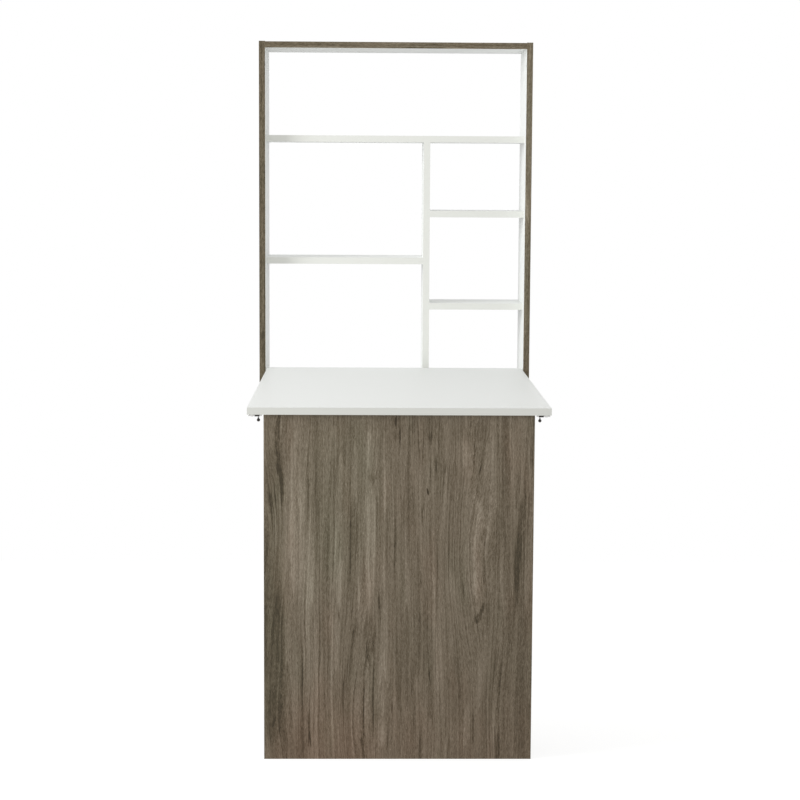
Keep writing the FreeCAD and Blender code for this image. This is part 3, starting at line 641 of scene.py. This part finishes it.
def cross_screw(head, shank, cone, length):
    """A countersunk screw that points down, its head's top at the origin, all in millimetres."""
    half, arm = 0.155 * head, 0.46 * head
    face, chamfer = head - 0.2, 0.08
    crest, root = shank - 0.02, 0.74 * shank
    neck, flank, valley, pitch = 1.0, 0.45, 0.3, 1.2
    point, point_radius, tip_radius = 0.6, 0.72 * shank, 0.06
    middle = (0.0, 0.0, 0.0)

    # the cross recess, in a round face
    deselect_all()
    bpy.ops.mesh.primitive_plane_add(size=2.0 * half * MM, location=middle)
    item = bpy.context.object
    open_mesh(item)
    for way in ((1, 0), (0, 1), (-1, 0), (0, -1)):
        place = Vector((*way, 0)) * half * MM
        choose("edges", lambda e: ((e.verts[0].co + e.verts[1].co) / 2 - place).length
               < 0.1 * half * MM)
        bpy.ops.mesh.extrude_region_move(
            TRANSFORM_OT_translate={"value": (way[0] * arm * MM, way[1] * arm * MM, 0.0)})
    bpy.ops.mesh.primitive_circle_add(vertices=24, radius=face * MM, location=middle)
    choose("edges", lambda e: len(e.link_faces) < 2)
    bpy.ops.mesh.bridge_edge_loops()
    choose("faces", lambda f: all(v.co.length < (face - 0.1) * MM for v in f.verts))
    draw_out(middle, -0.9 * cone * MM, 0.5)

    # the head's cone, the neck, the thread and the point
    choose("edges", lambda e: len(e.link_faces) < 2)
    threads = int((length - cone - neck - 2.0) / pitch)
    rest = length - cone - neck - pitch * threads
    profile = [(-chamfer, head - chamfer), (chamfer - cone, shank), (-neck, crest)]
    profile += [(-flank, root), (-valley, root), (-flank, crest)] * threads
    turned(middle, profile + [(-point, point_radius), (point - rest, tip_radius)], face)
    bpy.ops.mesh.merge(type="CENTER")
    close_mesh()
    return item


def heads_of(name, axis, high):
    """The middle of each head's top in a group of screws that lie along an axis."""
    reach = 6.0 * MM
    across = [i for i in range(3) if i != axis]
    boxes = []
    for vertex in NODES[name].data.vertices:
        spot = vertex.co
        for low, top in boxes:
            if all(abs(spot[i] - (low[i] + top[i]) / 2) < reach for i in across):
                for i in range(3):
                    low[i], top[i] = min(low[i], spot[i]), max(top[i], spot[i])
                break
        else:
            boxes.append((spot.copy(), spot.copy()))
    heads = []
    for low, top in boxes:
        middle = (low + top) / 2
        middle[axis] = (top if high else low)[axis]
        heads.append(middle)
    return heads


def drive_screws(name, pattern):
    """Sets a copy of a screw in each of a group's places, and stands for that group."""
    first_turn, next_turn = 23.0, 37.0
    look, body, slot = SCREWS[name]
    angle, axis, high = HEAD_TURNS[look]
    copies = []
    for number, head in enumerate(heads_of(name, axis, high)):
        copy = bpy.data.objects.new(f"{name}_{number}", pattern.data.copy())
        bpy.context.scene.collection.objects.link(copy)
        spin = math.radians(first_turn + next_turn * number)
        copy.data.transform(Matrix.Translation(head)
                            @ Matrix.Rotation(math.radians(angle), 4, "X")
                            @ Matrix.Rotation(spin, 4, "Z"))
        copies.append(copy)
    deselect_all()
    for copy in copies:
        copy.select_set(True)
    bpy.context.view_layer.objects.active = copies[0]
    bpy.ops.object.join()
    hand_over(bpy.context.object, name.replace("screws", "cross_screws"), body, slot, name)


def hand_over(item, name, body, slot, *nodes):
    """Names a finished piece and says what it rides on, is made of and stands for."""
    item.name = name
    item.data.name = name
    item.data.materials.clear()
    item.data.materials.append(finish_of(slot))
    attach(item, body)
    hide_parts(*nodes)


def ball_knob(side):
    """A turned knob: ball, neck, collar and the stem that screws into the rod."""
    low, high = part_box(f"bolt_knob_{side}")
    radius = (high.x - low.x) / 2
    centre = Vector(((low.x + high.x) / 2, (low.y + high.y) / 2, low.z + radius))
    cap, cap_height = math.radians(18.0), 0.957
    neck = [(0.25, 1.25), (0.5, 1.25), (0.03, 1.85), (0.1, 2.0), (0.5, 2.0), (0.1, 1.85),
            (0.03, 1.25)]
    stem = high.z - centre.z - radius * math.cos(cap) - sum(rise for rise, wide in neck) * MM
    deselect_all()
    bpy.ops.mesh.primitive_uv_sphere_add(segments=32, ring_count=20, radius=radius,
                                         location=centre)
    item = bpy.context.object
    put_down(item)
    open_mesh(item)
    choose("faces", lambda f: f.calc_center_median().z > centre.z + radius * cap_height)
    turned(tuple(centre), neck, PER_METRE * radius * math.sin(cap))
    level, end_height, end_radius = 0.99, centre.z + 1.1 * radius, 1.2 * MM
    choose("faces", lambda f: (f.normal.z > level and f.calc_center_median().z > end_height
                               and (f.calc_center_median().xy - centre.xy).length < end_radius))
    bpy.ops.mesh.extrude_region_move(TRANSFORM_OT_translate={"value": (0.0, 0.0, stem)})
    close_mesh(40.0)
    # the knob takes the darker copy of the plated metal: painted dark reflection
    hand_over(item, f"turned_knob_{side}", f"bolt_{side}", "nickel", f"bolt_knob_{side}")


# ---------------------------------------------------------------- settings

class DeskSizes(bpy.types.PropertyGroup):
    """Lengths that shape the dressed desk, in metres."""

    board_edge: bpy.props.FloatProperty(
        name="Board edge", description="Rounding of the banded board edges",
        default=0.6 * MM, min=0.0, unit="LENGTH")
    metal_edge: bpy.props.FloatProperty(
        name="Metal edge", description="Rounding of the pressed metal's edges",
        default=0.2 * MM, min=0.0, unit="LENGTH")


class DeskColours(bpy.types.PropertyGroup):
    """Base colours of the plain finishes."""

    white: bpy.props.FloatVectorProperty(
        name="White", description="White laminate of the shelves and the desk",
        default=(0.870, 0.883, 0.871), size=3, subtype="COLOR", min=0.0, max=1.0)
    steel: bpy.props.FloatVectorProperty(
        name="Steel", description="Zinc-plated steel of hinges and screws",
        default=(0.60, 0.60, 0.61), size=3, subtype="COLOR", min=0.0, max=1.0)
    # Painted dark reflection: the long straps and knobs are the same bright plated metal as the
    # plates and rods, given this darker colour to stand for the dark surroundings that they
    # reflect.
    nickel: bpy.props.FloatVectorProperty(
        name="Nickel", description="Dark nickel of the barrel bolts' straps and knobs",
        default=(0.075, 0.07, 0.066), size=3, subtype="COLOR", min=0.0, max=1.0)
    bright: bpy.props.FloatVectorProperty(
        name="Bright nickel", description="Bright nickel of the barrel bolts' plates and rods",
        default=(0.80, 0.79, 0.77), size=3, subtype="COLOR", min=0.0, max=1.0)
    zinc: bpy.props.FloatVectorProperty(
        name="Zinc", description="Die-cast zinc of the cam fittings",
        default=(0.48, 0.49, 0.51), size=3, subtype="COLOR", min=0.0, max=1.0)
    bush: bpy.props.FloatVectorProperty(
        name="Bush", description="Grey plastic of the strike bushes",
        default=(0.33, 0.33, 0.34), size=3, subtype="COLOR", min=0.0, max=1.0)


class DeskStudio(bpy.types.PropertyGroup):
    """Lamps and the white room's brightness."""

    key_power: bpy.props.FloatProperty(
        name="Key lamp", description="Power of the soft lamp at the left",
        default=68.0, min=0.0, unit="POWER")
    top_power: bpy.props.FloatProperty(
        name="Top lamp", description="Power of the soft lamp overhead",
        default=6.0, min=0.0, unit="POWER")
    fill: bpy.props.FloatProperty(
        name="Fill", description="Brightness of the white room",
        default=0.645, min=0.0)


# ---------------------------------------------------------------- operators

# In metres: the floor's side, and each soft lamp's place, what it looks at and its width.
FLOOR_SIZE = 3.0
LAMPS = {"key_lamp": ((-3.0, -1.2, 1.8), (0.0, 0.2, 1.0), 1.5),
         "top_lamp": ((0.0, -0.6, 3.2), (0.0, 0.0, 0.75), 2.0)}

# The camera: its place in metres; degrees that it turns to the right, down and round its own axis;
# its lens in millimetres before a 36 mm sensor; and its shift upwards.
CAMERA_PLACE = (-0.06492, -4.25121, 1.23834)
CAMERA_TURNS = (0.99, 5.89, 0.32)
CAMERA_LENS, CAMERA_SENSOR, CAMERA_SHIFT = 82.72, 36.0, -0.0493


def face_of_case(axis, way, inner):
    """Which finish a face of an outer board has: 0 outside, 1 inside, 2 on its edges."""
    tiny = 0.05 * MM

    def pick(centre, normal):
        facing = getattr(normal, axis)
        if facing * way > FACING and abs(getattr(centre, axis) - inner) < tiny:
            return 1
        return 0 if abs(facing) > FACING else 2
    return pick


class DESK_OT_cabinet(bpy.types.Operator):
    """Laminate on the cabinet's boards: walnut outside and in front, white inside"""
    bl_idname = "desk.cabinet"
    bl_label = "Cabinet boards"

    def execute(self, context):
        for name, (axis, way, face, band) in CASE_BOARDS.items():
            low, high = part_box(name)
            inner = getattr(high if way > 0 else low, axis)
            paint(name, face, "white_board", band, pick=face_of_case(axis, way, inner))
        for name in SHELVES:
            paint(name, "white_board", "white_band", pick=lambda c, n: int(abs(n.y) > FACING))
        for name in (*CASE_BOARDS, *SHELVES):
            ease_edges(NODES[name], context.scene.desk_sizes.board_edge)
        return {"FINISHED"}


class DESK_OT_desk(bpy.types.Operator):
    """White laminate on the folding desk top"""
    bl_idname = "desk.desk_top"
    bl_label = "Desk top"

    def execute(self, context):
        paint("desk_top", "white_board", "white_band",
              pick=lambda c, n: int(abs(n.z) < 1.0 - FACING))
        ease_edges(NODES["desk_top"], context.scene.desk_sizes.board_edge)
        return {"FINISHED"}


class DESK_OT_leg(bpy.types.Operator):
    """Walnut laminate on the panel leg"""
    bl_idname = "desk.leg"
    bl_label = "Panel leg"

    def execute(self, context):
        paint("leg_panel", "walnut_leg")
        ease_edges(NODES["leg_panel"], context.scene.desk_sizes.board_edge)
        return {"FINISHED"}


class DESK_OT_hinges(bpy.types.Operator):
    """Plated steel on the hinges' leaves and pins, and on their screws"""
    bl_idname = "desk.hinges"
    bl_label = "Hinges"

    def execute(self, context):
        for name in nodes_named("hinge"):
            paint(name, "steel")
        return {"FINISHED"}


class DESK_OT_screws(bpy.types.Operator):
    """Countersunk cross-head screws in every hinge leaf, bolt plate and hanger"""
    bl_idname = "desk.screws"
    bl_label = "Screws"

    def execute(self, context):
        wood = cross_screw(head=2.7, shank=1.5, cone=1.2, length=12.0)
        small = cross_screw(head=2.2, shank=1.25, cone=1.2, length=9.0)
        for name in SCREWS:
            drive_screws(name, small if name == "bolt_plate_screws" else wood)
        for pattern in (wood, small):
            bpy.data.objects.remove(pattern)
        return {"FINISHED"}


class DESK_OT_bolts(bpy.types.Operator):
    """Bright plate, end strap and rod; long strap and knob in a darker copy of the same plated
    metal, which is painted dark reflection; and grey plastic strike bushes
    """
    bl_idname = "desk.bolts"
    bl_label = "Barrel bolts"

    def execute(self, context):
        edge = context.scene.desk_sizes.metal_edge
        for name in nodes_named("bolt_rod"):
            paint(name, "bright_nickel")
        plate_depth, end_strap = 1.25 * MM, 10.0 * MM
        for name in nodes_named("bolt_guide"):
            low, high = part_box(name)
            under, inside = high.z - plate_depth, max(abs(low.x), abs(high.x)) - end_strap
            # the long strap under the plate takes the darker copy of the plated metal: painted dark
            # reflection
            paint(name, "bright_nickel", "nickel",
                  pick=lambda c, n: int(c.z < under and abs(c.x) < inside))
            ease_edges(NODES[name], edge)
        for side in ("left", "right"):
            ball_knob(side)
        for name in nodes_named("strike_bush"):
            paint(name, "grey_plastic")
            ease_edges(NODES[name], edge)
        return {"FINISHED"}


class DESK_OT_hangers(bpy.types.Operator):
    """Plated steel on the keyhole hanger plates and their screws"""
    bl_idname = "desk.hangers"
    bl_label = "Wall hangers"

    def execute(self, context):
        for name in nodes_named("hanger"):
            paint(name, "steel")
        return {"FINISHED"}


class DESK_OT_fittings(bpy.types.Operator):
    """The corner joints' cam locks, bolts, caps and dowels"""
    bl_idname = "desk.fittings"
    bl_label = "Joint fittings"

    def execute(self, context):
        paint("cam_locks", "zinc")
        paint("cam_bolts", "steel")
        paint("cam_caps", "white_plastic")
        ease_edges(NODES["cam_caps"], context.scene.desk_sizes.board_edge / 2)
        paint("cabinet_dowels", "dowel_wood")
        return {"FINISHED"}


class DESK_OT_stage(bpy.types.Operator):
    """Pale floor, white room, a soft lamp at the left, one overhead, and the camera"""
    bl_idname = "desk.stage"
    bl_label = "Studio"

    def execute(self, context):
        studio = context.scene.desk_studio
        deselect_all()
        bpy.ops.mesh.primitive_plane_add(size=FLOOR_SIZE, location=(0.0, 0.0, 0.0))
        floor = context.object
        floor.name = "studio_floor"
        put_down(floor)
        floor.data.materials.append(floor_finish())
        context.scene.world = white_room(studio.fill)
        soft_lamp("key_lamp", studio.key_power)
        soft_lamp("top_lamp", studio.top_power)
        camera(context.scene)
        return {"FINISHED"}


def put_down(item):
    """Moves an object's place, turn and size into its mesh."""
    item.data.transform(item.matrix_world)
    item.matrix_world = Matrix.Identity(4)


def floor_finish():
    """A white floor that keeps a soft shadow and meets the white room unseen."""
    f = Finish("studio_floor")
    speck = f.noise(f.place(), scale=40.0, detail=2.0)
    tint = f.blend(speck, (0.43, 0.43, 0.43), (0.47, 0.47, 0.47))
    lighting = f.node("ShaderNodeBsdfDiffuse", None, {"Color": tint})
    dim = f.node("ShaderNodeBsdfDiffuse", None, {"Color": (0.30, 0.30, 0.30)})
    glow = f.node("ShaderNodeEmission", None, {"Color": (1.0, 1.0, 1.0), "Strength": 0.80})
    return f.seen_apart(lighting, f.node("ShaderNodeAddShader", None, {0: dim, 1: glow}))


def white_room(fill):
    """A white surround: pure white where it is seen, softer where it lights."""
    f = Finish("white_room", world=True)
    lighting = f.node("ShaderNodeBackground", None,
                      {"Color": (0.998, 0.992, 0.968), "Strength": fill})
    seen = f.node("ShaderNodeBackground", None, {"Color": (1.0, 1.0, 1.0), "Strength": 1.0})
    return f.seen_apart(lighting, seen)


def soft_lamp(name, power):
    where, towards, size = LAMPS[name]
    data = bpy.data.lights.new(name, "AREA")
    data.shape = "DISK"
    data.size = size
    data.energy = power
    data.color = (0.985, 1.0, 1.0)
    lamp = bpy.data.objects.new(name, data)
    bpy.context.scene.collection.objects.link(lamp)
    lamp.location = where
    lamp.rotation_mode = "QUATERNION"
    lamp.rotation_quaternion = (Vector(towards) - Vector(where)).to_track_quat("-Z", "Y")


def camera(scene):
    """Stands in front of the desk, a little to the left, and looks slightly down."""
    data = bpy.data.cameras.new("front_camera")
    data.sensor_width = CAMERA_SENSOR
    data.lens = CAMERA_LENS
    data.shift_y = CAMERA_SHIFT
    data.dof.use_dof = False
    data.clip_start, data.clip_end = 0.05, 60.0
    item = bpy.data.objects.new("front_camera", data)
    scene.collection.objects.link(item)
    right, down, roll = (math.radians(turn) for turn in CAMERA_TURNS)
    turn = (Matrix.Rotation(-right, 4, "Z") @ Matrix.Rotation(math.pi / 2 - down, 4, "X")
            @ Matrix.Rotation(roll, 4, "Z"))
    item.rotation_mode = "QUATERNION"
    item.rotation_quaternion = turn.to_quaternion()
    item.location = CAMERA_PLACE
    scene.camera = item


# ---------------------------------------------------------------- panel and registration

OPERATORS = (DESK_OT_cabinet, DESK_OT_desk, DESK_OT_leg, DESK_OT_hinges, DESK_OT_bolts,
             DESK_OT_hangers, DESK_OT_screws, DESK_OT_fittings, DESK_OT_stage)


class DESK_PT_sidebar(bpy.types.Panel):
    """Sizes, colours and the steps that dress the desk"""
    bl_idname = "DESK_PT_sidebar"
    bl_label = "Fold-down wall desk"
    bl_space_type = "VIEW_3D"
    bl_region_type = "UI"
    bl_category = "Wall Desk"

    def draw(self, context):
        for group in (context.scene.desk_sizes, context.scene.desk_colours,
                      context.scene.desk_studio):
            box = self.layout.box()
            for key in group.bl_rna.properties.keys():
                if key not in ("name", "rna_type"):
                    box.prop(group, key)
        for operator in OPERATORS:
            self.layout.operator(operator.bl_idname)


GROUPS = {"desk_sizes": DeskSizes, "desk_colours": DeskColours, "desk_studio": DeskStudio}


def register():
    for group in GROUPS.values():
        bpy.utils.register_class(group)
    for key, group in GROUPS.items():
        setattr(bpy.types.Scene, key, bpy.props.PointerProperty(type=group))
    for item in (*OPERATORS, DESK_PT_sidebar):
        bpy.utils.register_class(item)


def unregister():
    for item in reversed((*OPERATORS, DESK_PT_sidebar)):
        bpy.utils.unregister_class(item)
    for key, group in GROUPS.items():
        delattr(bpy.types.Scene, key)
        bpy.utils.unregister_class(group)


def main():
    register()
    bpy.context.scene.view_settings.view_transform = "Standard"
    for operator in OPERATORS:
        package, name = operator.bl_idname.split(".")
        getattr(getattr(bpy.ops, package), name)()


if __name__ == "__main__":
    main()
